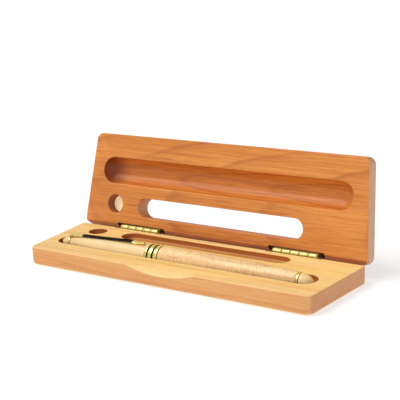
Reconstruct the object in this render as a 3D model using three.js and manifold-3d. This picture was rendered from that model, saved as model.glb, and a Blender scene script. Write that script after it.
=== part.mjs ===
// Two-piece wooden case for a fountain pen, with the pen lying in its groove.
// Millimetres, +Z up. X runs along the case, -Y is the opening edge, +Y is the
// hinge edge, and the underside of the base stands on Z = 0. The lid is built
// closed and then swung open about its hinge line.
import * as THREE from 'three';
import { mergeVertices } from 'three/addons/utils/BufferGeometryUtils.js';
import Module from 'manifold-3d';

const wasm = await Module();
wasm.setup();

// ---------------------------------------------------------------- dimensions
const LENGTH = 172.0;        // case length along the hinge edge
const EDGE_TAPER = 4.2;      // each end is this much shorter at the opening edge
const DEPTH = 51.4;          // opening edge to hinge edge
const HALF_T = 9.4;          // thickness of the base, and of the lid
const SEAM = 0.3;            // gap between base and lid when closed
const CORNER_R = 4.0;        // plan corners
const OUTER_R = 1.6;         // rounded outer long edges
const CHAMFER = 2.5;         // hinge-side chamfer on base and lid

const AXIS_FROM_FRONT = 50.5;            // hinge line, from the opening edge
const AXIS_Z = HALF_T + SEAM / 2;        // hinge line height
const OPEN_DEG = 103.15;                 // lid angle at rest, from closed

const PEN_GROOVE = { y: 20.1, r: 6.9, cz: 8.45, x0: -0.95, x: 76.0 };
const LID_COVE = { y: 19.8, r: 7.25, rise: 0.85, x: 75.8 };
const TRAY = { y: 39.6, r: 5.4, x: 50.2, depth: 3.0 };
const WINDOW = { y: 38.6, r: 5.3, x: 50.4 };
const BASE_HOLE = { x: -67.2, y: 38.9, r: 5.1, depth: 5.0 };
const LID_HOLE = { x: -66.0, y: 38.2, r: 5.1, depth: 7.3 };
const PLUG = { r: 4.6, t: 1.8 };
const SCOOP = { x: 1.4, half: 20.8, back: 5.5, down: 3.4 };

const HINGE_X = 47.6;        // centre of each hinge, either side
const BARREL_L = 24.6;       // hinge barrel length
const BARREL_R = 1.6;
const KNUCKLES = 5;
const KNUCKLE_GAP = 0.3;
const KNUCKLE_BORE_R = 0.9;
const PIN_R = 0.6;
const LEAF_T = 0.8;
const LEAF_REACH = 7.0;      // from the hinge line to the leaf's buried end
const KERF_L = 31.0;         // slot and barrel recess, longer than the hinge
const KERF_W = 1.5;
const RECESS_R = 2.1;

const PEN_Y = 20.1;          // pen axis, from the opening edge
const PEN_Z = 8.0;
const CLIP_LEAN = 15.0;      // clip, degrees from straight up towards the opening edge

const Y0 = DEPTH / 2;        // opening-edge coordinates to centred coordinates
const rad = THREE.MathUtils.degToRad;

// ------------------------------------------------------------------- helpers
function solid(geometry) {
  const g = geometry.clone();
  for (const a of ['normal', 'uv']) if (g.attributes[a]) g.deleteAttribute(a);
  const m = mergeVertices(g, 1e-4);
  const p = m.attributes.position.array;
  const src = m.index.array;
  const keep = [];
  let volume = 0;
  for (let i = 0; i < src.length; i += 3) {
    const [a, b, c] = [src[i], src[i + 1], src[i + 2]];
    if (a === b || b === c || a === c) continue;
    keep.push(a, b, c);
    const [ax, ay, az, bx, by, bz, cx, cy, cz] = [
      p[3 * a], p[3 * a + 1], p[3 * a + 2], p[3 * b], p[3 * b + 1], p[3 * b + 2],
      p[3 * c], p[3 * c + 1], p[3 * c + 2]];
    volume += ax * (by * cz - bz * cy) + ay * (bz * cx - bx * cz) + az * (bx * cy - by * cx);
  }
  if (volume < 0) for (let i = 0; i < keep.length; i += 3) [keep[i], keep[i + 1]] = [keep[i + 1], keep[i]];
  return new wasm.Manifold(new wasm.Mesh({
    numProp: 3, vertProperties: Float32Array.from(p), triVerts: Uint32Array.from(keep) }));
}
const at = (g, x, y, z) => g.clone().translate(x, y, z);

// Body of revolution about X: profile of [x, r] pairs that starts and ends on the axis.
function turned(profile, segments = 48) {
  const pts = profile.map(([x, r]) => new THREE.Vector2(Math.max(r, 0), x));
  const g = new THREE.LatheGeometry(pts, segments);
  g.rotateZ(-Math.PI / 2);
  return g;
}
// Tube about X from a closed profile of [x, r] pairs.
const tube = (profile, segments = 48) => turned([...profile, profile[0]], segments);

function roundedPolygon(corners, radius, steps = 6) {
  const out = [];
  const n = corners.length;
  for (let i = 0; i < n; i++) {
    const p = new THREE.Vector2(...corners[i]);
    const a = new THREE.Vector2(...corners[(i + n - 1) % n]).sub(p).normalize();
    const b = new THREE.Vector2(...corners[(i + 1) % n]).sub(p).normalize();
    const half = Math.acos(THREE.MathUtils.clamp(a.dot(b), -1, 1)) / 2;
    const bis = a.clone().add(b).normalize();
    const c = p.clone().addScaledVector(bis, radius / Math.sin(half));
    const s = p.clone().addScaledVector(a, radius / Math.tan(half)).sub(c);
    const e = p.clone().addScaledVector(b, radius / Math.tan(half)).sub(c);
    let a0 = Math.atan2(s.y, s.x);
    let a1 = Math.atan2(e.y, e.x);
    if (a1 - a0 > Math.PI) a1 -= 2 * Math.PI;
    if (a0 - a1 > Math.PI) a1 += 2 * Math.PI;
    for (let k = 0; k <= steps; k++) {
      const t = a0 + (a1 - a0) * k / steps;
      out.push(new THREE.Vector2(c.x + radius * Math.cos(t), c.y + radius * Math.sin(t)));
    }
  }
  return out;
}

function prism(points, depth, bevel = 0, bevelSegments = 3) {
  return new THREE.ExtrudeGeometry(new THREE.Shape(points), {
    depth, bevelEnabled: bevel > 0, bevelThickness: bevel, bevelSize: bevel,
    bevelOffset: -bevel, bevelSegments, curveSegments: 12 });
}

// Slot with half-round ends, along X, centred on x = 0.
function stadium(half, r, steps = 16) {
  const pts = [];
  for (const side of [1, -1]) {
    for (let k = 0; k <= steps; k++) {
      const t = side * (-Math.PI / 2 + Math.PI * k / steps);
      pts.push(new THREE.Vector2(side * (half - r) + side * r * Math.cos(t), side * r * Math.sin(side * t)));
    }
  }
  return pts;
}

// Round-nose groove cutter: a rod along X with ball ends.
function capsule(half, r, segments = 40, arc = 10) {
  const p = [];
  for (let k = 0; k <= arc; k++) {
    const t = Math.PI / 2 * k / arc;
    p.push([-half + r - r * Math.cos(t), r * Math.sin(t)]);
  }
  for (let k = 0; k <= arc; k++) {
    const t = Math.PI / 2 * (1 - k / arc);
    p.push([half - r + r * Math.cos(t), r * Math.sin(t)]);
  }
  p[0][1] = 0;
  p[p.length - 1][1] = 0;
  return turned(p, segments);
}

function disc(r, depth, segments = 40) {
  const g = new THREE.CylinderGeometry(r, r, depth, segments);
  g.rotateX(Math.PI / 2);
  g.translate(0, 0, depth / 2);
  return g;
}

const root = new THREE.Group();
const lid = new THREE.Group();
lid.position.set(0, AXIS_FROM_FRONT - Y0, AXIS_Z);
lid.rotation.x = -rad(OPEN_DEG);
const pen = new THREE.Group();
pen.position.set(0, PEN_Y - Y0, PEN_Z);
pen.rotation.x = rad(CLIP_LEAN);
root.add(lid, pen);

function put(parent, name, shape, material) {
  const mesh = shape.getMesh();
  const g = new THREE.BufferGeometry();
  g.setAttribute('position', new THREE.BufferAttribute(new Float32Array(mesh.vertProperties), 3));
  g.setIndex(new THREE.BufferAttribute(new Uint32Array(mesh.triVerts), 1));
  g.computeVertexNormals();
  const m = new THREE.Mesh(g, material);
  m.name = name;
  parent.add(m);
  return m;
}
const mat = (color, roughness, metalness = 0) => new THREE.MeshStandardMaterial({ color, roughness, metalness });

const alderBase = () => mat(0xe6b267, 0.5);
const alderLid = () => mat(0xdb8a48, 0.5);
const maple = () => mat(0xf2dfb4, 0.38);
const brass = () => mat(0xe9d59a, 0.22, 1);
const gold = () => mat(0xe8cf7e, 0.16, 1);
const black = () => mat(0x17120f, 0.3);

// -------------------------------------------------------------- wooden halves
const plan = roundedPolygon([
  [-LENGTH / 2 + EDGE_TAPER, -Y0], [LENGTH / 2 - EDGE_TAPER, -Y0],
  [LENGTH / 2, DEPTH - Y0], [-LENGTH / 2, DEPTH - Y0]], CORNER_R);

// A half, lying with its rounded face on Z = 0 and its flat face at Z = HALF_T.
function half() {
  const slab = prism(plan, HALF_T + 6, OUTER_R);
  slab.translate(0, 0, OUTER_R);
  const trim = new THREE.BoxGeometry(LENGTH + 40, DEPTH + 40, 20);
  trim.translate(0, 0, HALF_T + 10);
  // hinge-side chamfer, running out of the slab behind and above
  const c = CHAMFER;
  const wedge = prism([
    new THREE.Vector2(DEPTH - Y0 - c, HALF_T), new THREE.Vector2(DEPTH - Y0 + c, HALF_T - 2 * c),
    new THREE.Vector2(DEPTH - Y0 + 2 * c, HALF_T + 2 * c), new THREE.Vector2(DEPTH - Y0 - c, HALF_T + 2 * c)],
    LENGTH + 40);
  wedge.applyMatrix4(new THREE.Matrix4().set(
    0, 0, 1, -(LENGTH + 40) / 2, 1, 0, 0, 0, 0, 1, 0, 0, 0, 0, 0, 1));
  return solid(slab).subtract(solid(trim)).subtract(solid(wedge));
}

// Barrel recess and leaf kerf at one hinge, for a half whose face is at z = face,
// with the hinge line at (AXIS_FROM_FRONT, axisZ) and the leaf running to dir (+1 up, -1 down).
function hingeCut(x, axisZ, dir) {
  const recess = turned([[-KERF_L / 2, 0], [-KERF_L / 2, RECESS_R], [KERF_L / 2, RECESS_R], [KERF_L / 2, 0]], 40);
  const reach = LEAF_REACH + 0.4;
  const kerf = new THREE.BoxGeometry(KERF_L, reach, KERF_W);
  kerf.translate(0, -reach / 2, 0);
  kerf.rotateX(-dir * Math.PI / 4);
  return [recess, kerf].map((g) => solid(g.translate(x, AXIS_FROM_FRONT - Y0, axisZ)));
}

// base block
{
  let b = half();
  const g = PEN_GROOVE;
  b = b.subtract(solid(at(capsule(g.x, g.r), g.x0, g.y - Y0, g.cz)));
  const upper = prism(stadium(g.x, g.r, 20), 8);
  b = b.subtract(solid(at(upper, g.x0, g.y - Y0, g.cz)));
  const tray = prism(stadium(TRAY.x, TRAY.r), 10);
  b = b.subtract(solid(at(tray, 0, TRAY.y - Y0, HALF_T - TRAY.depth)));
  b = b.subtract(solid(at(disc(BASE_HOLE.r, 10), BASE_HOLE.x, BASE_HOLE.y - Y0, HALF_T - BASE_HOLE.depth)));
  for (const x of [-HINGE_X, HINGE_X]) for (const c of hingeCut(x, AXIS_Z, -1)) b = b.subtract(c);
  // thumb scoop: a shallow drum cut laid across the opening edge
  const s = SCOOP;
  const len = Math.hypot(s.back, s.down);
  const h = s.back * s.down / len;
  const R = (s.half * s.half + h * h) / (2 * h);
  const drum = new THREE.CylinderGeometry(R, R, 60, 180);
  drum.rotateX(0);
  drum.rotateX(Math.atan2(s.down, s.back));
  // drum axis runs along (0, back, down); its lowest line passes through the two edge points
  const n = new THREE.Vector3(0, -s.down / len, s.back / len);
  const mid = new THREE.Vector3(s.x, s.back / 2 - Y0, HALF_T - s.down / 2);
  const centre = mid.addScaledVector(n, R);
  drum.translate(centre.x, centre.y, centre.z);
  b = b.subtract(solid(drum));
  put(root, 'base_block', b, alderBase());
}

// lid block: the same half, mirrored, above the seam, in hinge-line coordinates
{
  const face = HALF_T + SEAM;
  let l = half().mirror([0, 0, 1]).translate([0, 0, 2 * HALF_T + SEAM]);
  l = l.subtract(solid(at(capsule(LID_COVE.x, LID_COVE.r, 48), 0, LID_COVE.y - Y0, face - LID_COVE.rise)));
  l = l.subtract(solid(at(prism(stadium(WINDOW.x, WINDOW.r), 30), 0, WINDOW.y - Y0, 0)));
  l = l.subtract(solid(at(disc(LID_HOLE.r, LID_HOLE.depth + 5), LID_HOLE.x, LID_HOLE.y - Y0, face - 5)));
  for (const x of [-HINGE_X, HINGE_X]) for (const c of hingeCut(x, AXIS_Z, 1)) l = l.subtract(c);
  const back = (m) => m.translate([0, -(AXIS_FROM_FRONT - Y0), -AXIS_Z]);
  put(lid, 'lid_block', back(l), alderLid());
  const plug = new THREE.CylinderGeometry(PLUG.r, PLUG.r, PLUG.t, 48);
  plug.rotateX(Math.PI / 2);
  plug.translate(LID_HOLE.x, LID_HOLE.y - Y0, face + LID_HOLE.depth - 0.3 - PLUG.t / 2);
  put(lid, 'lid_plug', back(solid(plug)), maple());
}

// ---------------------------------------------------------------------- hinges
{
  const pitch = BARREL_L / KNUCKLES;
  for (const [side, x] of [['left', -HINGE_X], ['right', HINGE_X]]) {
    const build = (odd, dir) => {
      // leaf plate, notched where the other leaf's knuckles turn
      const plate = new THREE.BoxGeometry(BARREL_L, LEAF_REACH - 1.1, LEAF_T);
      plate.translate(0, -(LEAF_REACH + 1.1) / 2, 0);
      plate.rotateX(-dir * Math.PI / 4);
      let m = solid(plate);
      for (let k = 0; k < KNUCKLES; k++) {
        const x0 = -BARREL_L / 2 + k * pitch;
        const mine = (k % 2 === 0) === odd;
        const a = x0 + (k > 0 ? KNUCKLE_GAP / 2 : 0);
        const b = x0 + pitch - (k < KNUCKLES - 1 ? KNUCKLE_GAP / 2 : 0);
        if (mine) {
          m = m.add(solid(turned([[a, 0], [a, BARREL_R], [b, BARREL_R], [b, 0]], 40)));
        } else {
          const r = BARREL_R + 0.3;
          const [c, d] = [x0 - (k > 0 ? KNUCKLE_GAP / 2 : 1), x0 + pitch + (k < KNUCKLES - 1 ? KNUCKLE_GAP / 2 : 1)];
          m = m.subtract(solid(turned([[c, 0], [c, r], [d, r], [d, 0]], 40)));
        }
      }
      const L = BARREL_L;
      m = m.subtract(solid(turned([[-L, 0], [-L, KNUCKLE_BORE_R], [L, KNUCKLE_BORE_R], [L, 0]], 32)));
      return m;
    };
    // base leaf and pin in case coordinates, lid leaf in hinge-line coordinates
    put(root, `hinge_${side}_base_leaf`, build(true, -1).translate([x, AXIS_FROM_FRONT - Y0, AXIS_Z]), brass());
    put(lid, `hinge_${side}_lid_leaf`, build(false, 1).translate([x, 0, 0]), brass());
    const h = BARREL_L / 2 - 0.2;
    const pin = turned([[-h, 0], [-h, PIN_R - 0.15], [-h + 0.15, PIN_R], [h - 0.15, PIN_R], [h, PIN_R - 0.15], [h, 0]], 24);
    put(root, `hinge_${side}_pin`, solid(pin).translate([x, AXIS_FROM_FRONT - Y0, AXIS_Z]), brass());
  }
}

// ------------------------------------------------------------------------- pen
// All pen pieces are turned about the pen's own axis; x is the place along the case.
{
  // cap: wooden tube, bored from the mouth
  put(pen, 'cap_tube', solid(tube([
    [-68.9, 1.6], [-68.9, 3.3], [-66, 3.8], [-62, 4.3], [-56, 4.9], [-48, 5.38], [-38, 5.7], [-28, 5.82], [-18.4, 5.86],
    [-18.4, 4.75], [-54, 4.6], [-56, 3.2], [-62, 3.0], [-66, 2.2], [-66, 1.6]])), maple());
  // metal sleeve at the cap mouth, with two black lacquered channels
  put(pen, 'cap_band', solid(tube([
    [-18.1, 4.75], [-18.1, 6.02], [-17.95, 6.12], [-17.15, 6.12], [-17.0, 5.85], [-16.1, 5.85], [-15.95, 6.14],
    [-14.05, 6.14], [-13.9, 5.85], [-12.9, 5.85], [-12.75, 6.12], [-11.05, 6.12], [-10.9, 6.02], [-10.9, 4.75]])), gold());
  // domed wooden end with the stud that holds the clip ring against the cap
  put(pen, 'cap_finial', solid(turned([
    [-75.7, 0], [-75.65, 0.65], [-75.4, 1.2], [-74.8, 1.75], [-73.6, 2.35], [-72.2, 2.8], [-70.4, 3.1], [-70.4, 1.2], [-66.6, 1.2],
    [-66.6, 0]])), maple());
  // clip: ring under the finial and a sprung bar running to the band
  const ring = tube([[-70.1, 1.6], [-70.1, 3.35], [-69.95, 3.5], [-69.35, 3.5], [-69.2, 3.35], [-69.2, 1.6]]);
  const bar = [
    [-70.05, 2.2], [-70.05, 4.3], [-69.6, 5.15], [-68.4, 5.5], [-66, 5.7], [-62, 5.85], [-56, 6.1], [-49, 6.35], [-40, 6.8],
    [-33.5, 7.2], [-30.0, 7.4], [-28.3, 7.3], [-26.8, 6.95], [-25.2, 6.85], [-23.4, 7.0], [-21.5, 7.3], [-20.3, 7.45], [-19.8, 7.3],
    [-20.0, 6.9], [-21.7, 6.65], [-23.6, 6.35], [-25.4, 6.2], [-27.0, 6.3], [-28.5, 6.62], [-30.0, 6.65], [-33.5, 6.45],
    [-40, 6.05], [-49, 5.68], [-56, 5.4], [-62, 5.1], [-66, 4.9], [-68.0, 4.7], [-69.25, 4.1], [-69.25, 2.2]];
  const barG = prism(bar.map(([x, r]) => new THREE.Vector2(x, r)), 2.4);
  // shape plane (x, r) -> (x, z); extrusion -> across the clip
  barG.applyMatrix4(new THREE.Matrix4().set(1, 0, 0, 0, 0, 0, -1, 1.2, 0, 1, 0, 0, 0, 0, 0, 1));
  put(pen, 'pocket_clip', solid(ring).add(solid(barG)), gold());

  // barrel: wooden tube, bored from the threaded mouth
  put(pen, 'barrel_tube', solid(turned([
    [65.5, 0], [65.5, 4.1], [56, 4.62], [46, 4.98], [34, 5.3], [20, 5.58], [6, 5.78], [-10.4, 5.86],
    [-10.4, 4.5], [12.4, 4.5], [13, 3.7], [46, 3.7], [47, 3.0], [47, 1.6], [54.5, 1.6], [54.5, 0]])), maple());
  put(pen, 'barrel_end_ring', solid(turned([
    [65.9, 0], [65.9, 4.12], [66.05, 4.25], [66.75, 4.25], [66.9, 4.12], [66.9, 0]])), gold());
  put(pen, 'barrel_finial', solid(turned([
    [67.2, 0], [67.2, 4.0], [68.3, 3.85], [69.8, 3.42], [71.2, 2.78], [72.4, 1.95], [73.3, 1.1], [73.7, 0.45], [73.8, 0]])), maple());

  // writing end, inside the cap
  put(pen, 'grip_section', solid(tube([
    [6.4, 1.9], [6.4, 3.9], [5.8, 4.15], [-9.9, 4.15], [-10.1, 4.3], [-11.2, 4.3], [-11.5, 4.05], [-20, 3.85], [-26, 3.6],
    [-28, 3.75], [-28.8, 3.75], [-29.2, 3.55], [-29.2, 2.95], [-12, 2.95], [-11.4, 1.9]])), black());
  // nib: a curved plate cut to a point, with a breather hole and a slit
  const shell = tube([[-52.5, 2.45], [-52.5, 2.75], [-24.0, 2.75], [-24.0, 2.45]], 64);
  const outline = [[-24.0, -2.3], [-31.0, -2.5], [-36.0, -2.55], [-39.0, -2.3], [-43.5, -1.35], [-48.3, -0.42], [-49.0, 0],
    [-48.3, 0.42], [-43.5, 1.35], [-39.0, 2.3], [-36.0, 2.55], [-31.0, 2.5], [-24.0, 2.3]];
  const blade = prism(outline.map(([x, y]) => new THREE.Vector2(x, y)), 4);
  let nib = solid(shell).intersect(solid(blade));
  nib = nib.subtract(solid(at(disc(0.55, 6, 20), -38.6, 0, 0)));
  const slit = new THREE.BoxGeometry(11.4, 0.12, 8);
  slit.translate(-44.2, 0, 2);
  nib = nib.subtract(solid(slit));
  put(pen, 'nib', nib, gold());
  // feed: finned comb under the nib
  const feedRod = turned([[-46.5, 0], [-46.0, 0.6], [-42.0, 1.4], [-37.0, 2.1], [-13.2, 2.1], [-13.2, 0]], 32);
  const flat = new THREE.BoxGeometry(24, 6, 4);
  flat.translate(-47.0, 0, 2.6);
  let feed = solid(feedRod).subtract(solid(flat));
  for (let k = 0; k < 5; k++) {
    const fin = new THREE.BoxGeometry(0.5, 6, 1.6);
    fin.translate(-32.2 - k * 1.3, 0, -1.9);
    feed = feed.subtract(solid(fin));
  }
  put(pen, 'ink_feed', feed, black());

  // piston converter, inside the barrel
  put(pen, 'converter_tube', solid(tube([
    [-8.0, 1.0], [-8.0, 1.5], [6.8, 1.5], [7.3, 3.1], [33.0, 3.1], [33.0, 2.6], [10.0, 2.6], [9.0, 1.0]])),
    mat(0xd9dfe2, 0.12));
  put(pen, 'converter_piston', solid(turned([
    [11.0, 0], [11.0, 2.25], [14.0, 2.25], [14.0, 0.8], [38.0, 0.8], [38.0, 0]], 36)), black());
  put(pen, 'converter_knob', solid(tube([
    [33.4, 1.1], [33.4, 2.9], [34.0, 3.3], [44.4, 3.3], [45.0, 3.1], [45.0, 1.1]], 40)), brass());
}

export default root;
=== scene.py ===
import math

import bmesh
import bpy
from mathutils import Matrix, Vector


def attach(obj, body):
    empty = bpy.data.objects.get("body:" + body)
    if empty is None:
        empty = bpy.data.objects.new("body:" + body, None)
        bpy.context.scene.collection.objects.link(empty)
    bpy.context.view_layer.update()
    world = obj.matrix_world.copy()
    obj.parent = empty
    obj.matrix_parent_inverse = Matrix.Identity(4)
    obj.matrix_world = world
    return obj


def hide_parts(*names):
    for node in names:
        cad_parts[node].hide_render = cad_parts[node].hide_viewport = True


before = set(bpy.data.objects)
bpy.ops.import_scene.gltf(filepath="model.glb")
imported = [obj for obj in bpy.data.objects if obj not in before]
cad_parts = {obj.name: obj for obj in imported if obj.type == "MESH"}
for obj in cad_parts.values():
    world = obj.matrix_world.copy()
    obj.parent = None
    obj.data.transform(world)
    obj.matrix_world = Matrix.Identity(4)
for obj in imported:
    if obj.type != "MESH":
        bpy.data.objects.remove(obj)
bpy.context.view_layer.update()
scene = bpy.context.scene
MM = 0.001

# ------------------------------------------------------------- dimensions, mm
LENGTH, EDGE_TAPER, DEPTH, HALF_T, SEAM = 171.93, 4.2, 51.4, 9.4, 0.3
CORNER_R, OUTER_R, CHAMFER = 4.0, 1.85, 2.5
AXIS_FROM_FRONT, OPEN_DEG = 50.5, 103.15
Y0 = DEPTH / 2
AXIS = Vector((0.0, AXIS_FROM_FRONT - Y0, HALF_T + SEAM / 2))
PEN_GROOVE = dict(x0=-0.95, y=20.1, r=6.9, cz=8.45, x=76.0)
LID_COVE = dict(y=19.8, r=7.25, rise=0.85, x=75.8)
TRAY = dict(y=39.6, r=5.4, x=50.2, depth=3.0)
WINDOW = dict(y=38.6, r=5.3, x=50.4)
BASE_HOLE = dict(x=-67.2, y=38.9, r=5.1, depth=5.0)
LID_HOLE = dict(x=-66.0, y=38.2, r=5.1, depth=7.3)
PLUG_R, PLUG_T = 4.6, 1.8
SCOOP = dict(x=1.4, half=20.8, back=5.5, down=3.4)
HINGE_X, BARREL_L, BARREL_R, KNUCKLES, KNUCKLE_GAP = 47.6, 24.6, 1.38, 5, 0.3
LEAF_T, LEAF_REACH, KERF_L, KERF_W, RECESS_R = 0.8, 7.0, 31.0, 1.5, 2.1
PEN_Y, PEN_Z, CLIP_LEAN = 20.1, 8.0, 15.0
RIM = 0.35          # softened rim of every routed edge
EDGE = 0.4          # softened outer edge at the seam


# ------------------------------------------------------------------ materials
def material(name):
    m = bpy.data.materials.new(name)
    m.use_nodes = True
    nt = m.node_tree
    for n in list(nt.nodes):
        nt.nodes.remove(n)
    out = nt.nodes.new("ShaderNodeOutputMaterial")
    bsdf = nt.nodes.new("ShaderNodeBsdfPrincipled")
    nt.links.new(bsdf.outputs["BSDF"], out.inputs["Surface"])
    return m, nt, bsdf


class Net:
    """Short calls for building a node tree."""

    def __init__(self, nt):
        self.nt = nt

    def put(self, kind, **values):
        n = self.nt.nodes.new(kind)
        for k, v in values.items():
            setattr(n, k, v)
        return n

    def link(self, a, b):
        self.nt.links.new(a, b)

    def math(self, op, a, b=None, c=None, clamp=False):
        n = self.put("ShaderNodeMath", operation=op, use_clamp=clamp)
        for i, v in enumerate((a, b, c)):
            if v is None:
                continue
            if isinstance(v, (int, float)):
                n.inputs[i].default_value = v
            else:
                self.link(v, n.inputs[i])
        return n.outputs[0]

    def coords(self, scale, offset=(0, 0, 0), source=None):
        if source is None:
            source = self.put("ShaderNodeTexCoord").outputs["Object"]
        m = self.put("ShaderNodeMapping")
        self.link(source, m.inputs["Vector"])
        m.inputs["Scale"].default_value = scale
        m.inputs["Location"].default_value = offset
        return m.outputs["Vector"]

    def noise(self, vector, scale=1.0, detail=2.0, rough=0.5, distortion=0.0):
        n = self.put("ShaderNodeTexNoise")
        self.link(vector, n.inputs["Vector"])
        n.inputs["Scale"].default_value = scale
        n.inputs["Detail"].default_value = detail
        n.inputs["Roughness"].default_value = rough
        n.inputs["Distortion"].default_value = distortion
        return n.outputs["Fac"]

    def ramp(self, fac, stops, interpolation="LINEAR"):
        n = self.put("ShaderNodeValToRGB")
        n.color_ramp.interpolation = interpolation
        el = n.color_ramp.elements
        while len(el) > 1:
            el.remove(el[-1])
        el[0].position, el[0].color = stops[0][0], (*stops[0][1], 1.0)
        for p, c in stops[1:]:
            e = el.new(p)
            e.color = (*c, 1.0)
        self.link(fac, n.inputs["Fac"])
        return n.outputs["Color"]

    def grey(self, fac, stops):
        return self.ramp(fac, [(p, (v, v, v)) for p, v in stops])

    def mix(self, fac, a, b, blend="MIX"):
        n = self.put("ShaderNodeMix", data_type="RGBA", blend_type=blend)
        if isinstance(fac, (int, float)):
            n.inputs["Factor"].default_value = fac
        else:
            self.link(fac, n.inputs["Factor"])
        for socket, v in ((n.inputs[6], a), (n.inputs[7], b)):
            if isinstance(v, tuple):
                socket.default_value = (*v, 1.0)
            else:
                self.link(v, socket)
        return n.outputs[2]

    def bump(self, height, strength, distance, normal=None):
        n = self.put("ShaderNodeBump")
        n.inputs["Strength"].default_value = strength
        n.inputs["Distance"].default_value = distance
        self.link(height, n.inputs["Height"])
        if normal is not None:
            self.link(normal, n.inputs["Normal"])
        return n.outputs["Normal"]


def srgb(r, g, b):
    f = lambda c: c / 12.92 if c <= 0.04045 else ((c + 0.055) / 1.055) ** 2.4
    return tuple(f(c / 255.0) for c in (r, g, b))


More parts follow.
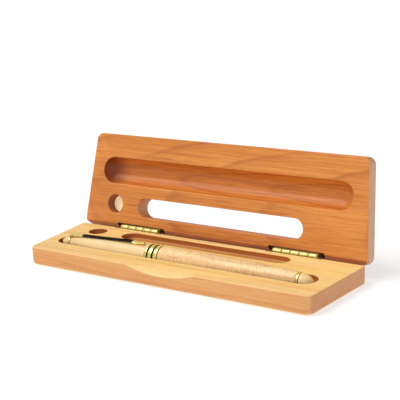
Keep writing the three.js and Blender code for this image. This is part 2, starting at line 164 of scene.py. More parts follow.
def wood(name, light, mid, dark, end_tint, ring_mm=5.5, slope=0.03, seed=0.0, streak=0.5, side=None,
         roughness=0.42, pith=(30.0, -70.0), cut=None, wander=(9.0, 1.6), shift=0.0, front=None, left_end_shade=None, fleck=None, chamfer_shade=None):
    """Board-sawn wood: growth layers around a far-off pith along X, long fibres, pores, and a darker end grain;
    optional masks add painted shade.
    """
    m, nt, bsdf = material(name)
    k = Net(nt)
    tc = k.put("ShaderNodeAttribute", attribute_name="grain").outputs["Vector"]
    mm = k.coords((1000.0, 1000.0, 1000.0), source=tc)                       # millimetres
    # slow wander of the layers along and across the board
    wob = k.noise(k.coords((0.012, 0.045, 0.045), (seed, 3.1 + seed, 0.0), mm), 1.0, 2.0, 0.45)
    wob2 = k.noise(k.coords((0.045, 0.16, 0.16), (7.0 + seed, seed, 1.0), mm), 1.0, 2.0, 0.5)
    sep = k.put("ShaderNodeSeparateXYZ")
    k.link(mm, sep.inputs[0])
    x, y, z = sep.outputs
    dy = k.math("SUBTRACT", y, pith[0])
    dz = k.math("SUBTRACT", z, pith[1])
    r = k.math("SQRT", k.math("ADD", k.math("MULTIPLY", dy, dy), k.math("MULTIPLY", dz, dz)))
    r = k.math("ADD", r, k.math("MULTIPLY", x, slope))
    r = k.math("ADD", r, k.math("MULTIPLY", k.math("SUBTRACT", wob, 0.5), wander[0]))
    r = k.math("ADD", r, k.math("MULTIPLY", k.math("SUBTRACT", wob2, 0.5), wander[1]))
    r = k.math("ADD", r, shift)
    phase = k.math("FRACT", k.math("DIVIDE", r, ring_mm))
    # each growth layer darkens slowly and stops at a soft line
    layer = k.grey(phase, [(0.0, 0.10), (0.08, 0.0), (0.60, 0.14), (0.84, 0.42), (0.92, 1.0), (0.965, 0.9), (1.0, 0.10)])
    # long fibres
    fib = k.noise(k.coords((0.02, 0.9, 0.9), (seed, 0, 0), mm), 1.0, 5.0, 0.62)
    fib2 = k.noise(k.coords((0.05, 3.2, 3.2), (0, seed, 0), mm), 1.0, 3.0, 0.6)
    pores = k.noise(k.coords((0.10, 4.6, 4.6), (seed, 5, 2), mm), 1.0, 1.0, 0.5)
    broad = k.noise(k.coords((0.006, 0.10, 0.10), (2 + seed, 0, 4), mm), 1.0, 2.0, 0.5)
    base = k.ramp(broad, [(0.30, light), (0.72, mid)])
    fade = k.grey(k.noise(k.coords((0.016, 0.06, 0.06), (11 + seed, 0, 0), mm), 1.0, 2.0, 0.5), [(0.35, 0.35), (0.65, 1.0)])
    base = k.mix(k.math("MULTIPLY", k.math("MULTIPLY", layer, fade), 0.55 * streak + 0.12), base, dark)
    fibm = k.grey(fib, [(0.40, 0.0), (0.62, 1.0)])
    base = k.mix(k.math("MULTIPLY", fibm, 0.42 * streak), base, dark)
    dash = k.grey(k.noise(k.coords((0.075, 1.7, 1.7), (seed, 9, 5), mm), 1.0, 2.0, 0.55), [(0.54, 0.0), (0.68, 1.0)])
    base = k.mix(k.math("MULTIPLY", dash, 0.46 * streak), base, dark)
    fib2m = k.grey(fib2, [(0.52, 0.0), (0.80, 1.0)])
    base = k.mix(k.math("MULTIPLY", fib2m, 0.30 * streak), base, dark)
    porem = k.grey(pores, [(0.635, 0.0), (0.70, 1.0)])
    base = k.mix(k.math("MULTIPLY", porem, 0.30 * streak), base, tuple(c * 0.55 for c in dark))
    # the ends cut across the fibres, and the faces square to the board take the stain differently
    geo = k.put("ShaderNodeNewGeometry")
    nrm = k.put("ShaderNodeVectorTransform", vector_type="NORMAL", convert_from="WORLD", convert_to="OBJECT")
    k.link(geo.outputs["Normal"], nrm.inputs[0])
    nx = k.put("ShaderNodeSeparateXYZ")
    k.link(nrm.outputs[0], nx.inputs[0])
    endf = k.grey(k.math("ABSOLUTE", nx.outputs[0]), [(0.45, 0.0), (0.9, 1.0)])
    ends = k.mix(k.math("MULTIPLY", layer, 0.32), end_tint, tuple(c * 0.62 for c in end_tint))
    streaks = k.noise(k.coords((0.3, 1.9, 0.35), (seed, 1, 2), k.coords((1, 1, 1), source=mm)), 1.0, 3.0, 0.6)
    ends = k.mix(k.math("MULTIPLY", k.grey(streaks, [(0.45, 0.0), (0.62, 1.0)]), 0.28), ends, tuple(c * 0.66 for c in end_tint))
    speck = k.noise(k.coords((1.0, 2.8, 2.8), (1, seed, 3), mm), 1.0, 3.0, 0.6)
    ends = k.mix(k.math("MULTIPLY", k.grey(speck, [(0.40, 0.0), (0.68, 1.0)]), 0.30), ends, tuple(c * 0.5 for c in end_tint))
    base = k.mix(endf, base, ends)
    if side is not None:                       # painted shade: faces turned to the front and back are painted darker than the top
        side_face_shade_mask = k.grey(k.math("ABSOLUTE", nx.outputs[1]), [(0.66, 0.0), (0.93, 1.0)])
        base = k.mix(side_face_shade_mask, base, k.mix(1.0, base, side, "MULTIPLY"))
    if fleck is not None:                      # short silvery rays lying across the fibres
        rays = k.noise(k.coords((1.9, 0.42, 0.42), (3, seed, 7), mm), 1.0, 2.0, 0.6)
        rf = k.grey(rays, [(0.50, 0.0), (0.62, 1.0)])
        rf = k.math("MULTIPLY", rf, k.math("GREATER_THAN", x, fleck[0]))
        base = k.mix(k.math("MULTIPLY", rf, fleck[1]), base, dark)
    if front is not None:                      # darker and redder towards the front edge
        ff = k.grey(k.math("MULTIPLY", k.math("SUBTRACT", front[0], y), 0.08, clamp=True), [(0.0, 0.0), (1.0, 1.0)])
        base = k.mix(ff, base, k.mix(1.0, base, front[1], "MULTIPLY"))
    if cut is not None:                        # the routed surfaces are painted darker than the planed faces: partly darker burnished wood, partly painted shade in the hollows
        cut_tint_and_shade, z_of = cut
        routed_tint_and_shade_mask = z_of(k, x, y, z)
        base = k.mix(routed_tint_and_shade_mask, base, k.mix(1.0, base, cut_tint_and_shade, "MULTIPLY"))
        if left_end_shade is not None:                   # painted shade at the left end of the cut, where its end wall faces away from the light
            left_end_shade_fade = k.grey(k.math("MULTIPLY", k.math("SUBTRACT", left_end_shade[0], x), 0.085, clamp=True), [(0.0, 0.0), (1.0, 1.0)])
            base = k.mix(k.math("MULTIPLY", left_end_shade_fade, routed_tint_and_shade_mask), base, k.mix(1.0, base, left_end_shade[1], "MULTIPLY"))
        if chamfer_shade is not None:                 # painted shade on the downward-facing hinge-side chamfer, darkest at its foot by the gap
            chamfer_shade_mask = k.math("MULTIPLY", k.math("GREATER_THAN", y, DEPTH - Y0 - CHAMFER + 0.15), k.math("LESS_THAN", z, HALF_T + SEAM + CHAMFER + 0.6))
            chamfer_foot_shade = k.grey(k.math("MULTIPLY", k.math("SUBTRACT", z, HALF_T + SEAM), 1 / (CHAMFER + 0.4), clamp=True), [(0.0, 0.0), (0.6, 0.35), (1.0, 1.0)])
            base = k.mix(k.math("MULTIPLY", chamfer_shade_mask, chamfer_foot_shade), k.mix(chamfer_shade_mask, base, k.mix(1.0, base, chamfer_shade[0], "MULTIPLY")), chamfer_shade[1])
        # painted shade: the barrel recesses at the hinges are painted nearly black
        hy, hz = k.math("SUBTRACT", y, AXIS.y), k.math("SUBTRACT", z, AXIS.z)
        hr = k.math("SQRT", k.math("ADD", k.math("MULTIPLY", hy, hy), k.math("MULTIPLY", hz, hz)))
        hx = k.math("ABSOLUTE", k.math("SUBTRACT", k.math("ABSOLUTE", x), HINGE_X))
        hinge_recess_shade_mask = k.math("MULTIPLY", k.math("LESS_THAN", hr, RECESS_R + 0.12), k.math("LESS_THAN", hx, KERF_L / 2 + 0.1))
        base = k.mix(hinge_recess_shade_mask, base, (0.016, 0.008, 0.004))
    # painted shade darkening the concave corners in the cuts, and paler convex edges
    point = k.grey(geo.outputs["Pointiness"], [(0.44, 0.0), (0.497, 0.5), (0.503, 0.5), (0.56, 1.0)])
    base = k.mix(k.math("MULTIPLY", k.math("SUBTRACT", 0.5, point, clamp=True), 0.7), base, tuple(c * 0.45 for c in dark))
    base = k.mix(k.math("MULTIPLY", k.math("SUBTRACT", point, 0.5, clamp=True), 0.5), base, light)
    k.link(base, bsdf.inputs["Base Color"])
    rough = k.math("ADD", roughness - 0.06, k.math("MULTIPLY", fib, 0.16))
    k.link(rough, bsdf.inputs["Roughness"])
    bsdf.inputs["Specular IOR Level"].default_value = 0.42
    height = k.math("ADD", k.math("MULTIPLY", fib2, 0.6), k.math("MULTIPLY", porem, -0.8))
    height = k.math("ADD", height, k.math("MULTIPLY", fib, 0.5))
    k.link(k.bump(height, 0.22, 0.00012), bsdf.inputs["Normal"])
    return m


def metal(name, colour, rough=0.2, scratch=0.25, black_bands=None):
    m, nt, bsdf = material(name)
    k = Net(nt)
    tc = k.put("ShaderNodeTexCoord").outputs["Object"]
    mm = k.coords((1000.0, 1000.0, 1000.0), source=tc)
    cloud = k.noise(k.coords((0.5, 0.5, 0.5), (1, 2, 3), mm), 1.0, 3.0, 0.55)
    lines = k.noise(k.coords((9.0, 0.7, 0.7), (0, 4, 0), mm), 1.0, 2.0, 0.5)
    col = k.mix(k.grey(cloud, [(0.35, 0.0), (0.75, 0.35)]), colour, tuple(c * 0.72 for c in colour))
    rgh = k.math("ADD", rough, k.math("MULTIPLY", k.math("SUBTRACT", cloud, 0.4), 0.22))
    met = None
    # the black bands are enamel lines on the cap band, and a painted reflection on the clip bar
    if black_bands:
        sep = k.put("ShaderNodeSeparateXYZ")
        k.link(mm, sep.inputs[0])
        mask = None
        for a, b in black_bands:
            f = k.math("MULTIPLY", k.math("GREATER_THAN", sep.outputs[0], a), k.math("LESS_THAN", sep.outputs[0], b))
            mask = f if mask is None else k.math("ADD", mask, f, clamp=True)
        col = k.mix(mask, col, (0.010, 0.004, 0.003))
        met = k.math("MULTIPLY", k.math("SUBTRACT", 1.0, mask), 0.62)
        rgh = k.math("ADD", rgh, k.math("MULTIPLY", mask, 0.30))
        k.link(k.math("SUBTRACT", 0.5, k.math("MULTIPLY", mask, 0.44)), bsdf.inputs["Specular IOR Level"])
    k.link(col, bsdf.inputs["Base Color"])
    if met is not None:
        k.link(met, bsdf.inputs["Metallic"])
    else:
        bsdf.inputs["Metallic"].default_value = 0.62
    k.link(rgh, bsdf.inputs["Roughness"])
    k.link(k.bump(lines, scratch * 0.25, 0.00004), bsdf.inputs["Normal"])
    return m


def plastic(name, colour, rough=0.25, coat=0.3, alpha=1.0):
    m, nt, bsdf = material(name)
    k = Net(nt)
    mm = k.coords((1000.0, 1000.0, 1000.0))
    cloud = k.noise(mm, 0.8, 3.0, 0.6)
    k.link(k.ramp(cloud, [(0.3, colour), (0.75, tuple(min(1.0, c * 1.35 + 0.004) for c in colour))]), bsdf.inputs["Base Color"])
    k.link(k.math("ADD", rough - 0.04, k.math("MULTIPLY", cloud, 0.10)), bsdf.inputs["Roughness"])
    k.link(k.bump(cloud, 0.08, 0.00005), bsdf.inputs["Normal"])
    bsdf.inputs["Coat Weight"].default_value = coat
    return m


def below(limit, sign, x_max, y_min, y_max):
    """Mask of the routed surfaces past the seam face, within the middle of the board, which get a darker tint: partly
    darker wood, partly painted shade.
    """
    def mask(k, x, y, z):
        m = k.math("MULTIPLY", k.math("SUBTRACT", limit, z), 2.2 * sign, clamp=True)
        m = k.math("MULTIPLY", m, k.math("LESS_THAN", k.math("ABSOLUTE", k.math("SUBTRACT", z, limit)), HALF_T - 0.45))
        m = k.math("MULTIPLY", m, k.math("LESS_THAN", k.math("ABSOLUTE", x), x_max))
        m = k.math("MULTIPLY", m, k.math("GREATER_THAN", y, y_min))
        return k.math("MULTIPLY", m, k.math("LESS_THAN", y, y_max))
    return mask


# painted shade: the base's front and back faces are tinted darker than its top
WOOD_BASE = wood("wood_base", srgb(253, 224, 154), srgb(251, 212, 128), srgb(208, 136, 62), srgb(226, 152, 98), ring_mm=6.5,
                 slope=0.02, seed=1.7, streak=0.6, side=(0.77, 0.53, 0.43), pith=(40.0, -60.0), wander=(7.0, 1.6),
                 cut=((0.62, 0.38, 0.20), below(HALF_T - 0.1, 1.0, 79.0, -14.0, 21.0)), front=(-10.0, (0.965, 0.87, 0.86)))
# painted shade on the lid: the cove, the left end of the cove and the hinge-side chamfer are painted darker, the cove
# partly as darker routed wood
WOOD_LID = wood("wood_lid", srgb(230, 151, 73), srgb(217, 134, 57), srgb(156, 74, 24), srgb(226, 172, 132), ring_mm=5.13,
                slope=-0.09, seed=4.3, streak=0.85, pith=(10.0, 95.0), wander=(1.6, 0.9), shift=3.95,
                cut=((0.97, 0.84, 0.56), below(HALF_T + SEAM + 0.1, -1.0, 79.0, -14.5, 19.5)), left_end_shade=(-61.0, (0.42, 0.22, 0.12)), chamfer_shade=((0.84, 0.66, 0.54), (0.10, 0.03, 0.012)))
MAPLE = wood("maple", srgb(250, 224, 168), srgb(244, 210, 148), srgb(206, 146, 88), srgb(214, 164, 112), ring_mm=4.5,
             slope=0.06, seed=9.1, streak=0.6, pith=(5.0, 18.0), roughness=0.34, fleck=(-80.0, 0.12))
MAPLE_B = wood("maple_flecked", srgb(250, 224, 168), srgb(243, 208, 146), srgb(196, 128, 78), srgb(214, 164, 112), ring_mm=4.5,
               slope=0.06, seed=6.4, streak=0.6, pith=(5.0, 18.0), roughness=0.34, fleck=(-11.0, 0.50))
PLUG = wood("plug_maple_painted_glow", srgb(255, 246, 214), srgb(253, 236, 196), srgb(226, 180, 128), srgb(250, 228, 184), ring_mm=4.5,
            slope=0.06, seed=2.2, streak=0.4, pith=(5.0, 18.0), roughness=0.3)
# painted light: the plug's very pale colour and faint warm glow lift it out of the shade of its recess
PLUG.node_tree.nodes["Principled BSDF"].inputs["Emission Color"].default_value = (1.0, 0.78, 0.48, 1.0)
PLUG.node_tree.nodes["Principled BSDF"].inputs["Emission Strength"].default_value = 0.33
BRASS = metal("brass", srgb(250, 224, 132), 0.20, 0.4)
GOLD = metal("gold_trim", srgb(253, 234, 138), 0.16, 0.2)
BAND = metal("band_gold", srgb(253, 234, 138), 0.16, 0.2, black_bands=((-17.05, -16.05), (-13.95, -12.85)))
# painted reflection: most of the clip bar is painted black, for the dark surroundings its polished face mirrors
CLIP = metal("clip_gold_painted_reflection", srgb(253, 234, 138), 0.16, 0.2, black_bands=((-60.6, -27.6),))
BLACK = plastic("black_plastic", (0.012, 0.010, 0.009), 0.22)
CLEAR = plastic("clear_plastic", (0.60, 0.64, 0.66), 0.10, 0.6)


# --------------------------------------------------------------- mesh helpers
def finish_mesh(name, bm, mat, smooth_deg=38.0):
    bmesh.ops.remove_doubles(bm, verts=bm.verts, dist=1e-7)
    bmesh.ops.recalc_face_normals(bm, faces=bm.faces)
    me = bpy.data.meshes.new(name)
    bm.to_mesh(me)
    bm.free()
    ob = bpy.data.objects.new(name, me)
    scene.collection.objects.link(ob)
    me.materials.append(mat)
    shade(ob, smooth_deg)
    return ob


def shade(ob, smooth_deg=38.0):
    """Smooth by angle, and keep the unopened place of every point for the wood's own grain."""
    me = ob.data
    at = me.attributes.get("grain") or me.attributes.new("grain", "FLOAT_VECTOR", "POINT")
    co = [0.0] * (3 * len(me.vertices))
    me.vertices.foreach_get("co", co)
    at.data.foreach_set("vector", co)
    for p in me.polygons:
        p.use_smooth = True
    me.set_sharp_from_angle(angle=math.radians(smooth_deg))
    me.update()


def loft(rings, cap=True):
    """Closed skin through rings of equal length, each a list of (x, y, z) in mm."""
    bm = bmesh.new()
    rows = [[bm.verts.new(Vector(p) * MM) for p in ring] for ring in rings]
    n = len(rows[0])
    for a, b in zip(rows, rows[1:]):
        for i in range(n):
            j = (i + 1) % n
            bm.faces.new((a[i], a[j], b[j], b[i]))
    if cap:
        bm.faces.new(rows[0])
        bm.faces.new(rows[-1])
    return bm


def stadium(cx, cy, half, r, z, steps=24):
    pts = []
    for side in (1, -1):
        for k in range(steps + 1):
            t = -math.pi / 2 + math.pi * k / steps
            pts.append((cx + side * (half - r) + side * r * math.cos(t), cy + side * r * math.sin(t), z))
    return pts


def plan_ring(inset, z, steps=10, lip=0.0):
    """Outline of the case, moved inwards by inset."""
    s = EDGE_TAPER / DEPTH
    norm = math.hypot(1.0, s)
    y_a, y_b = -Y0 + inset, DEPTH - Y0 - inset + lip
    half = lambda y: LENGTH / 2 - EDGE_TAPER + s * (y + Y0) - inset * norm
    corners = [(-half(y_a), y_a), (half(y_a), y_a), (half(y_b), y_b), (-half(y_b), y_b)]
    rad = max(CORNER_R - inset, 0.3)
    out = []
    for i in range(4):
        p = Vector(corners[i])
        a = (Vector(corners[i - 1]) - p).normalized()
        b = (Vector(corners[(i + 1) % 4]) - p).normalized()
        ha = math.acos(max(-1, min(1, a.dot(b)))) / 2
        c = p + (a + b).normalized() * (rad / math.sin(ha))
        s0 = p + a * (rad / math.tan(ha)) - c
        s1 = p + b * (rad / math.tan(ha)) - c
        a0, a1 = math.atan2(s0.y, s0.x), math.atan2(s1.y, s1.x)
        if a1 - a0 > math.pi:
            a1 -= 2 * math.pi
        if a0 - a1 > math.pi:
            a1 += 2 * math.pi
        for k in range(steps + 1):
            t = a0 + (a1 - a0) * k / steps
            out.append((c.x + rad * math.cos(t), c.y + rad * math.sin(t), z))
    return out


def half_block(lip=0.0):
    """One wooden half with its rounded face down at z = 0 and its seam face at z = HALF_T."""
    rings = []
    n = 8
    for k in range(n + 1):
        t = math.pi / 2 * k / n
        rings.append(plan_ring(OUTER_R * (1 - math.sin(t)), OUTER_R * (1 - math.cos(t)), lip=lip))
    n = 4
    for k in range(n + 1):
        t = math.pi / 2 * k / n
        rings.append(plan_ring(EDGE * (1 - math.cos(t)), HALF_T - EDGE + EDGE * math.sin(t), lip=lip))
    return loft(rings)


def rim(z_face, sign):
    """Offsets and heights of a softened rim; sign is +1 where the cut opens upwards."""
    out = []
    n = 4
    for k in range(n + 1):
        t = math.pi / 2 * k / n
        out.append((RIM * (1 - math.cos(t)), z_face - sign * RIM * (1 - math.sin(t))))
    out.append((RIM, z_face + sign * 3.0))
    return out


def boolean(ob, cutters, mode="DIFFERENCE"):
    for c in cutters:
        mod = ob.modifiers.new("cut", "BOOLEAN")
        mod.operation = mode
        mod.solver = "EXACT"
        mod.object = c
    dg = bpy.context.evaluated_depsgraph_get()
    me = bpy.data.meshes.new_from_object(ob.evaluated_get(dg))
    old = ob.data
    ob.modifiers.clear()
    ob.data = me
    bpy.data.meshes.remove(old)
    for c in cutters:
        bpy.data.objects.remove(c, do_unlink=True)
    return ob


def cutter(bm):
    bmesh.ops.recalc_face_normals(bm, faces=bm.faces)
    me = bpy.data.meshes.new("cutter")
    bm.to_mesh(me)
    bm.free()
    ob = bpy.data.objects.new("cutter", me)
    scene.collection.objects.link(ob)
    return ob


def turned(profile, segments=72, closed=False):
    """Body of revolution about X from (x, r) pairs, in mm."""
    bm = bmesh.new()
    rows = []
    for x, r in profile:
        if r < 1e-6:
            rows.append([bm.verts.new((x * MM, 0, 0))])
        else:
            rows.append([bm.verts.new((x * MM, r * math.cos(2 * math.pi * i / segments) * MM,
                                       r * math.sin(2 * math.pi * i / segments) * MM)) for i in range(segments)])
    pairs = list(zip(rows, rows[1:]))
    if closed:
        pairs.append((rows[-1], rows[0]))
    for a, b in pairs:
        for i in range(segments):
            j = (i + 1) % segments
            if len(a) == 1 and len(b) == 1:
                continue
            if len(a) == 1:
                bm.faces.new((a[0], b[i], b[j]))
            elif len(b) == 1:
                bm.faces.new((a[i], a[j], b[0]))
            else:
                bm.faces.new((a[i], a[j], b[j], b[i]))
    return bm


def smooth_profile(points, per=6):
    """Catmull-Rom through (x, r) points."""
    p = [Vector(q) for q in points]
    out = []
    for i in range(len(p) - 1):
        a, b, c, d = p[max(i - 1, 0)], p[i], p[i + 1], p[min(i + 2, len(p) - 1)]
        for k in range(per):
            t = k / per
            v = 0.5 * ((2 * b) + (c - a) * t + (2 * a - 5 * b + 4 * c - d) * t * t + (3 * b - a - 3 * c + d) * t ** 3)
            out.append((v.x, max(v.y, 0.0)))
    out.append((p[-1].x, p[-1].y))
    return out


def box_bm(x0, x1, y0, y1, z0, z1):
    bm = bmesh.new()
    bmesh.ops.create_cube(bm, size=1.0)
    for v in bm.verts:
        v.co = Vector((x0 + (v.co.x + 0.5) * (x1 - x0), y0 + (v.co.y + 0.5) * (y1 - y0), z0 + (v.co.z + 0.5) * (z1 - z0))) * MM
    return bm


def hinge_cutters(axis_z, direction):
    """Barrel recess and leaf kerf at each hinge."""
    cuts = []
    for x in (-HINGE_X, HINGE_X):
        bm = turned([(-KERF_L / 2, 0), (-KERF_L / 2, RECESS_R), (KERF_L / 2, RECESS_R), (KERF_L / 2, 0)], 48)
        bm.transform(Matrix.Translation(Vector((x, AXIS.y, axis_z)) * MM))
        cuts.append(cutter(bm))
        reach = LEAF_REACH + 0.4
        bm = box_bm(-KERF_L / 2, KERF_L / 2, -reach, 0, -KERF_W / 2, KERF_W / 2)
        bm.transform(Matrix.Translation(Vector((x, AXIS.y, axis_z)) * MM) @ Matrix.Rotation(-direction * math.pi / 4, 4, "X"))
        cuts.append(cutter(bm))
    return cuts


def groove_rings(cx, cy, half, r, cz, z_face, sign, below=14):
    """Round-nose groove with ball ends, as rings from its bottom to past the face."""
    rings = []
    top = (z_face - cz) * sign                     # face height above the round's centre, in the cut's own sense
    t_end = math.asin(max(-1.0, min(1.0, (top - RIM) / r))) if top - RIM < r else math.pi / 2
    t_end = min(t_end, 0.0) if top - RIM >= 0 else t_end
    for k in range(below + 1):
        t = -math.pi / 2 + (t_end + math.pi / 2) * k / below
        rr = max(r * math.cos(t), 0.05)
        rings.append(stadium(cx, cy, half - r + rr, rr, cz + sign * r * math.sin(t)))
    r_face = r * math.cos(t_end)
    for off, z in rim(z_face, sign):
        rings.append(stadium(cx, cy, half - r + r_face + off, r_face + off, z))
    return rings


def pocket_rings(cx, cy, half, r, z_floor, z_face, sign, fillet=0.5):
    rings = []
    for k in range(4):
        t = math.pi / 2 * k / 3
        d = fillet * (1 - math.sin(t))
        rings.append(stadium(cx, cy, half - d, r - d, z_floor + sign * fillet * (1 - math.cos(t))))
    for off, z in rim(z_face, sign):
        rings.append(stadium(cx, cy, half + off, r + off, z))
    return rings


def chamfer_cutter():
    c = CHAMFER
    bm = bmesh.new()
    sec = [(DEPTH - Y0 - c, HALF_T), (DEPTH - Y0 + c, HALF_T - 2 * c), (DEPTH - Y0 + 2 * c, HALF_T + 2 * c), (DEPTH - Y0 - c, HALF_T + 2 * c)]
    rows = [[bm.verts.new(Vector((x, y, z)) * MM) for y, z in sec] for x in (-LENGTH / 2 - 20, LENGTH / 2 + 20)]
    for i in range(4):
        j = (i + 1) % 4
        bm.faces.new((rows[0][i], rows[0][j], rows[1][j], rows[1][i]))
    bm.faces.new(rows[0])
    bm.faces.new(rows[1])
    return cutter(bm)


# ------------------------------------------------------------------- the base
def make_base():
    ob = finish_mesh("base_body", half_block(), WOOD_BASE)
    g = PEN_GROOVE
    cuts = [chamfer_cutter(),
            cutter(loft(groove_rings(g["x0"], g["y"] - Y0, g["x"], g["r"], g["cz"], HALF_T, 1))),
            cutter(loft(pocket_rings(0, TRAY["y"] - Y0, TRAY["x"], TRAY["r"], HALF_T - TRAY["depth"], HALF_T, 1, 0.9))),
            cutter(loft(pocket_rings(BASE_HOLE["x"], BASE_HOLE["y"] - Y0, BASE_HOLE["r"], BASE_HOLE["r"] - 1e-3,
                                     HALF_T - BASE_HOLE["depth"], HALF_T, 1, 0.4)))]
    s = SCOOP
    ln = math.hypot(s["back"], s["down"])
    h = s["back"] * s["down"] / ln
    R = (s["half"] ** 2 + h * h) / (2 * h)
    seg = 360
    bm = bmesh.new()
    bmesh.ops.create_cone(bm, cap_ends=True, segments=seg, radius1=R * MM, radius2=R * MM, depth=60 * MM)
    bm.transform(Matrix.Rotation(-math.pi / 2, 4, "X"))
    bm.transform(Matrix.Rotation(math.atan2(s["down"], s["back"]), 4, "X"))
    nrm = Vector((0, -s["down"] / ln, s["back"] / ln))
    mid = Vector((s["x"], s["back"] / 2 - Y0, HALF_T - s["down"] / 2)) + nrm * R
    bm.transform(Matrix.Translation(mid * MM))
    cuts.append(cutter(bm))
    boolean(ob, cuts + hinge_cutters(AXIS.z, -1))
    ob.data.materials.clear()
    ob.data.materials.append(WOOD_BASE)
    shade(ob, 34.0)
    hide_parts("base_block")
    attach(ob, "case_base")
    return ob


# -------------------------------------------------------------------- the lid
# Built closed in case coordinates moved to the hinge line, then swung open.
OPEN = Matrix.Translation(AXIS * MM) @ Matrix.Rotation(-math.radians(OPEN_DEG), 4, "X")


def to_lid(ob):
    """Swing a mesh made in closed-case coordinates open about the hinge line."""
    ob.data.transform(OPEN @ Matrix.Translation(-AXIS * MM))
    ob.data.update()
    return ob


def make_lid():
    bm = half_block(0.35)
    bm.transform(Matrix.Diagonal((1, 1, -1, 1)))
    bm.transform(Matrix.Translation(Vector((0, 0, 2 * HALF_T + SEAM)) * MM))
    ob = finish_mesh("lid_body", bm, WOOD_LID)
    face = HALF_T + SEAM
    c = LID_COVE
    ch = chamfer_cutter()
    ch.data.transform(Matrix.Translation(Vector((0, 0, 2 * HALF_T + SEAM)) * MM) @ Matrix.Diagonal((1, 1, -1, 1)))
    ch.data.flip_normals()
    w = WINDOW
    cuts = [ch,
            cutter(loft(groove_rings(0, c["y"] - Y0, c["x"], c["r"], face - c["rise"], face, -1))),
            cutter(loft(pocket_rings(LID_HOLE["x"], LID_HOLE["y"] - Y0, LID_HOLE["r"], LID_HOLE["r"] - 1e-3,
                                     face + LID_HOLE["depth"], face, -1, 0.3)))]
    back = face + HALF_T
    rings = [stadium(0, w["y"] - Y0, w["x"] + off, w["r"] + off, z) for off, z in reversed(rim(back, 1))]
    rings += [stadium(0, w["y"] - Y0, w["x"] + off, w["r"] + off, z) for off, z in rim(face, -1)]
    cuts.append(cutter(loft(rings)))
    boolean(ob, cuts + hinge_cutters(AXIS.z, 1))
    ob.data.materials.clear()
    ob.data.materials.append(WOOD_LID)
    shade(ob, 34.0)
    to_lid(ob)
    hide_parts("lid_block")
    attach(ob, "case_lid")
    # pale round plug in the recess, its edge slightly rounded
    z = face + LID_HOLE["depth"] - 0.3
    prof = [(0, 0), (0, PLUG_R - 0.1), (0.1, PLUG_R), (PLUG_T - 0.35, PLUG_R), (PLUG_T - 0.1, PLUG_R - 0.12),
            (PLUG_T, PLUG_R - 0.4), (PLUG_T, 0)]
    bm = turned(prof, 64)
    bm.transform(Matrix.Translation(Vector((LID_HOLE["x"], LID_HOLE["y"] - Y0, z)) * MM) @ Matrix.Rotation(math.pi / 2, 4, "Y"))
    plug = finish_mesh("lid_plug_disc", bm, PLUG)
    to_lid(plug)
    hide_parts("lid_plug")
    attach(plug, "case_lid")
    return ob


# --------------------------------------------------------------------- hinges
def make_hinge(side, x):
    pitch = BARREL_L / KNUCKLES

    def leaf(odd, direction):
        bm = box_bm(-BARREL_L / 2, BARREL_L / 2, -LEAF_REACH, -1.1, -LEAF_T / 2, LEAF_T / 2)
        bm.transform(Matrix.Rotation(-direction * math.pi / 4, 4, "X"))
        plate = finish_mesh("leaf", bm, BRASS)
        cuts, joins = [], []
        for k in range(KNUCKLES):
            x0 = -BARREL_L / 2 + k * pitch
            a = x0 + (KNUCKLE_GAP / 2 if k > 0 else 0)
            b = x0 + pitch - (KNUCKLE_GAP / 2 if k < KNUCKLES - 1 else 0)
            e = 0.22
            if (k % 2 == 0) == odd:
                joins.append(cutter(turned([(a, 0), (a, BARREL_R - e), (a + e * 0.3, BARREL_R - e * 0.3), (a + e, BARREL_R), (b - e, BARREL_R),
                                            (b - e * 0.3, BARREL_R - e * 0.3), (b, BARREL_R - e), (b, 0)], 48)))
            else:
                r = BARREL_R + 0.3
                c, d = x0 - (KNUCKLE_GAP / 2 if k > 0 else 1), x0 + pitch + (KNUCKLE_GAP / 2 if k < KNUCKLES - 1 else 1)
                cuts.append(cutter(turned([(c, 0), (c, r), (d, r), (d, 0)], 48)))
        boolean(plate, cuts)
        boolean(plate, joins, "UNION")
        boolean(plate, [cutter(turned([(-BARREL_L, 0), (-BARREL_L, 0.9), (BARREL_L, 0.9), (BARREL_L, 0)], 32))])
        plate.data.materials.clear()
        plate.data.materials.append(BRASS)
        shade(plate, 38.0)
        return plate

    b = leaf(True, -1)
    b.name = f"hinge_{side}_fixed"
    b.matrix_world = Matrix.Translation(Vector((x, AXIS.y, AXIS.z)) * MM)
    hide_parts(f"hinge_{side}_base_leaf")
    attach(b, "case_base")
    m = leaf(False, 1)
    m.name = f"hinge_{side}_moving"
    m.matrix_world = OPEN @ Matrix.Translation(Vector((x, 0, 0)) * MM)
    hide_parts(f"hinge_{side}_lid_leaf")
    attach(m, "case_lid")


# ------------------------------------------------------------------------ pen
PEN = Matrix.Translation(Vector((0, PEN_Y - Y0, PEN_Z)) * MM) @ Matrix.Rotation(math.radians(CLIP_LEAN), 4, "X")


def pen_piece(name, bm, mat, body, nodes, smooth_deg=38.0):
    ob = finish_mesh(name, bm, mat, smooth_deg)
    ob.matrix_world = PEN
    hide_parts(*nodes)
    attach(ob, body)
    return ob


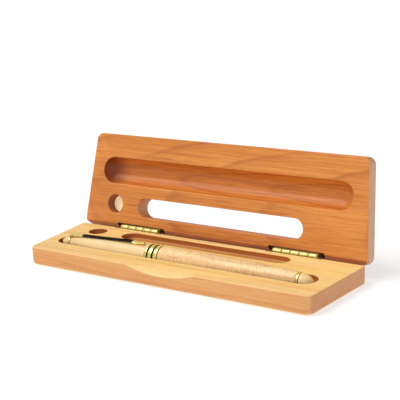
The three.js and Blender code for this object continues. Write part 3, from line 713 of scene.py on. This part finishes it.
def make_pen():
    outer = smooth_profile([(-66, 3.8), (-62, 4.3), (-56, 4.9), (-48, 5.38), (-38, 5.7), (-28, 5.82), (-18.6, 5.86)], 6)
    pen_piece("cap_wood", turned([(-68.9, 1.6), (-68.9, 3.15), (-68.75, 3.3)] + outer + [(-18.4, 5.7), (-18.4, 4.75), (-54, 4.6), (-56, 3.2),
              (-62, 3.0), (-66, 2.2), (-66, 1.6)], 96, closed=True), MAPLE, "pen_cap", ["cap_tube"])
    e = 0.08
    band = [(-18.1, 4.75), (-18.1, 5.98)]
    for a, b, r in ((-18.1, -17.0, 6.12), (-16.1, -13.9, 6.14), (-12.9, -10.9, 6.12)):
        for k in range(7):
            t = k / 6
            xx = a + 0.05 + (b - a - 0.1) * t
            band.append((xx, r - 0.10 * (2 * t - 1) ** 4))
        band += [(b, 5.98), (b + 0.02, 5.84)]
        if b < -11:
            nxt = {-17.0: -16.1, -13.9: -12.9}[b]
            band += [(nxt - 0.02, 5.84), (nxt, 5.98)]
    band = band[:-1] + [(-10.9, 4.75)]
    pen_piece("cap_ring", turned(band, 96, closed=True), BAND, "pen_cap", ["cap_band"], 30.0)
    dome = smooth_profile([(-75.7, 0.0), (-75.6, 0.75), (-75.3, 1.3), (-74.7, 1.82), (-73.6, 2.35), (-72.2, 2.8), (-70.55, 3.08)], 6)
    dome[0] = (-75.7, 0.0)
    pen_piece("cap_end", turned(dome + [(-70.4, 3.0), (-70.4, 1.2), (-66.6, 1.2), (-66.6, 0.0)], 72), MAPLE, "pen_cap", ["cap_finial"])

    # clip: ring and a rounded sprung bar
    mid = [(-69.65, 3.0), (-69.7, 4.2), (-69.0, 4.85), (-67.4, 5.2), (-62, 5.48), (-56, 5.75), (-49, 6.0), (-40, 6.43), (-33.5, 6.83),
           (-30.0, 7.03), (-28.3, 6.96), (-26.8, 6.62), (-25.2, 6.5), (-23.4, 6.68), (-21.5, 6.98), (-20.15, 7.12)]
    pts = [Vector((x, r)) for x, r in smooth_profile(mid, 5)]
    n = len(pts)
    rings = []
    for i, p in enumerate(pts):
        d = (pts[min(i + 1, n - 1)] - pts[max(i - 1, 0)]).normalized()
        nrm = Vector((-d.y, d.x))
        f = i / (n - 1)
        wide = 1.15 - 0.18 * math.sin(math.pi * min(1.0, f * 1.1)) if f < 0.86 else 1.0 + 0.16 * math.sin(math.pi * (f - 0.86) / 0.14)
        thick = 0.34
        ring = []
        m = 16
        for k in range(m):
            t = 2 * math.pi * k / m
            ct, st = math.cos(t), math.sin(t)
            u = math.copysign(abs(ct) ** 0.5, ct) * wide          # across
            v = math.copysign(abs(st) ** 0.6, st) * thick          # through
            q = p + nrm * v
            ring.append((q.x, u, q.y))
        rings.append(ring)
    bm = loft(rings)
    bar = finish_mesh("clip_bar", bm, CLIP, 50.0)
    bar.matrix_world = PEN
    ring_bm = turned([(-70.1, 1.6), (-70.1, 3.32), (-69.95, 3.48), (-69.65, 3.52), (-69.35, 3.48), (-69.2, 3.32), (-69.2, 1.6)], 72, closed=True)
    clip = pen_piece("clip_ring", ring_bm, GOLD, "pen_cap", ["pocket_clip"])
    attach(bar, "pen_cap")

    barrel = smooth_profile([(65.2, 4.12), (56, 4.62), (46, 4.98), (34, 5.3), (20, 5.58), (6, 5.78), (-10.2, 5.86)], 6)
    pen_piece("barrel_wood", turned([(65.5, 0.0), (65.5, 3.9)] + barrel + [(-10.4, 5.7), (-10.4, 4.5), (12.4, 4.5), (13, 3.7), (46, 3.7),
              (47, 3.0), (47, 1.6), (54.5, 1.6), (54.5, 0.0)], 96), MAPLE_B, "pen_barrel", ["barrel_tube"])
    pen_piece("barrel_ring", turned([(65.9, 0.0), (65.9, 4.08), (66.05, 4.22), (66.4, 4.25), (66.75, 4.22), (66.9, 4.08), (66.9, 0.0)], 72), GOLD,
              "pen_barrel", ["barrel_end_ring"])
    tip = smooth_profile([(67.35, 3.98), (68.3, 3.85), (69.8, 3.42), (71.2, 2.78), (72.4, 1.95), (73.3, 1.1), (73.7, 0.45), (73.8, 0.0)], 6)
    tip[-1] = (73.8, 0.0)
    pen_piece("barrel_end", turned([(67.2, 0.0), (67.2, 3.85)] + tip, 72), MAPLE, "pen_barrel", ["barrel_finial"])


make_base()
make_lid()
make_hinge("left", -HINGE_X)
make_hinge("right", HINGE_X)
make_pen()

# CAD nodes kept as they are, with finished materials
for node, mat in (("hinge_left_pin", BRASS), ("hinge_right_pin", BRASS), ("nib", GOLD), ("grip_section", BLACK), ("ink_feed", BLACK),
                  ("converter_tube", CLEAR), ("converter_knob", BRASS), ("converter_piston", BLACK)):
    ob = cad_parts[node]
    ob.data.materials.clear()
    ob.data.materials.append(mat)

# --------------------------------------------------------------- floor, light
bm = bmesh.new()
bmesh.ops.create_grid(bm, x_segments=1, y_segments=1, size=12.0)
bm.transform(Matrix.Translation((0, 0, -0.0002)))
me = bpy.data.meshes.new("floor")
bm.to_mesh(me)
bm.free()
floor = bpy.data.objects.new("floor", me)
scene.collection.objects.link(floor)
fm, fnt, fb = material("floor_paper")
fkn = Net(fnt)
fnoise = fkn.noise(fkn.coords((1, 1, 1)), 60.0, 2.0, 0.5)
fkn.link(fkn.ramp(fnoise, [(0.3, (0.47, 0.47, 0.475)), (0.7, (0.50, 0.50, 0.505))]), fb.inputs["Base Color"])
fb.inputs["Roughness"].default_value = 0.9
fb.inputs["Specular IOR Level"].default_value = 0.1
fb.inputs["Emission Color"].default_value = (1.0, 1.0, 1.0, 1.0)
fb.inputs["Emission Strength"].default_value = 0.58
me.materials.append(fm)

world = bpy.data.worlds.new("studio")
scene.world = world
world.use_nodes = True
bg = world.node_tree.nodes["Background"]
bg.inputs["Color"].default_value = (1.0, 1.0, 1.0, 1.0)
bg.inputs["Strength"].default_value = 0.42


def area(name, loc, target, size, power, colour=(1, 1, 1)):
    li = bpy.data.lights.new(name, "AREA")
    li.shape = "RECTANGLE"
    li.size, li.size_y = size
    li.energy = power
    li.color = colour
    ob = bpy.data.objects.new(name, li)
    scene.collection.objects.link(ob)
    loc, target = Vector(loc), Vector(target)
    ob.location = loc
    ob.rotation_euler = (target - loc).to_track_quat("-Z", "Y").to_euler()
    return ob


sun = bpy.data.lights.new("key", "SUN")
sun.energy = 2.15
sun.angle = math.radians(38.0)
sun.color = (1.0, 0.985, 0.96)
sob = bpy.data.objects.new("key", sun)
scene.collection.objects.link(sob)
sob.rotation_euler = Vector((0.40, 0.34, -0.85)).to_track_quat("-Z", "Y").to_euler()
area("front_fill", (0.35, -0.85, 0.42), (0, 0, 0.02), (0.7, 0.45), 1.3)

# --------------------------------------------------------------------- camera
az, el, roll = math.radians(34.07), math.radians(14.71), math.radians(-2.44)
dist = 3.816 * LENGTH * MM
target = Vector((-0.501 * LENGTH, 0.9708 * LENGTH - Y0, -0.0361 * LENGTH)) * MM
back = Vector((math.sin(az) * math.cos(el), -math.cos(az) * math.cos(el), math.sin(el)))
fwd = -back
right = fwd.cross(Vector((0, 0, 1))).normalized()
up = right.cross(fwd)
r2 = right * math.cos(roll) + up * math.sin(roll)
u2 = -right * math.sin(roll) + up * math.cos(roll)
cam = bpy.data.cameras.new("camera")
cam.sensor_width = 36.0
cam.lens = 990.47 / 400.0 * 36.0
cam.clip_start, cam.clip_end = 0.01, 50.0
cob = bpy.data.objects.new("camera", cam)
scene.collection.objects.link(cob)
mw = Matrix((r2, u2, back)).transposed().to_4x4()
mw.translation = target + back * dist
cob.matrix_world = mw
scene.camera = cob

scene.view_settings.view_transform = "Standard"
scene.view_settings.look = "None"
scene.view_settings.exposure = 0.0
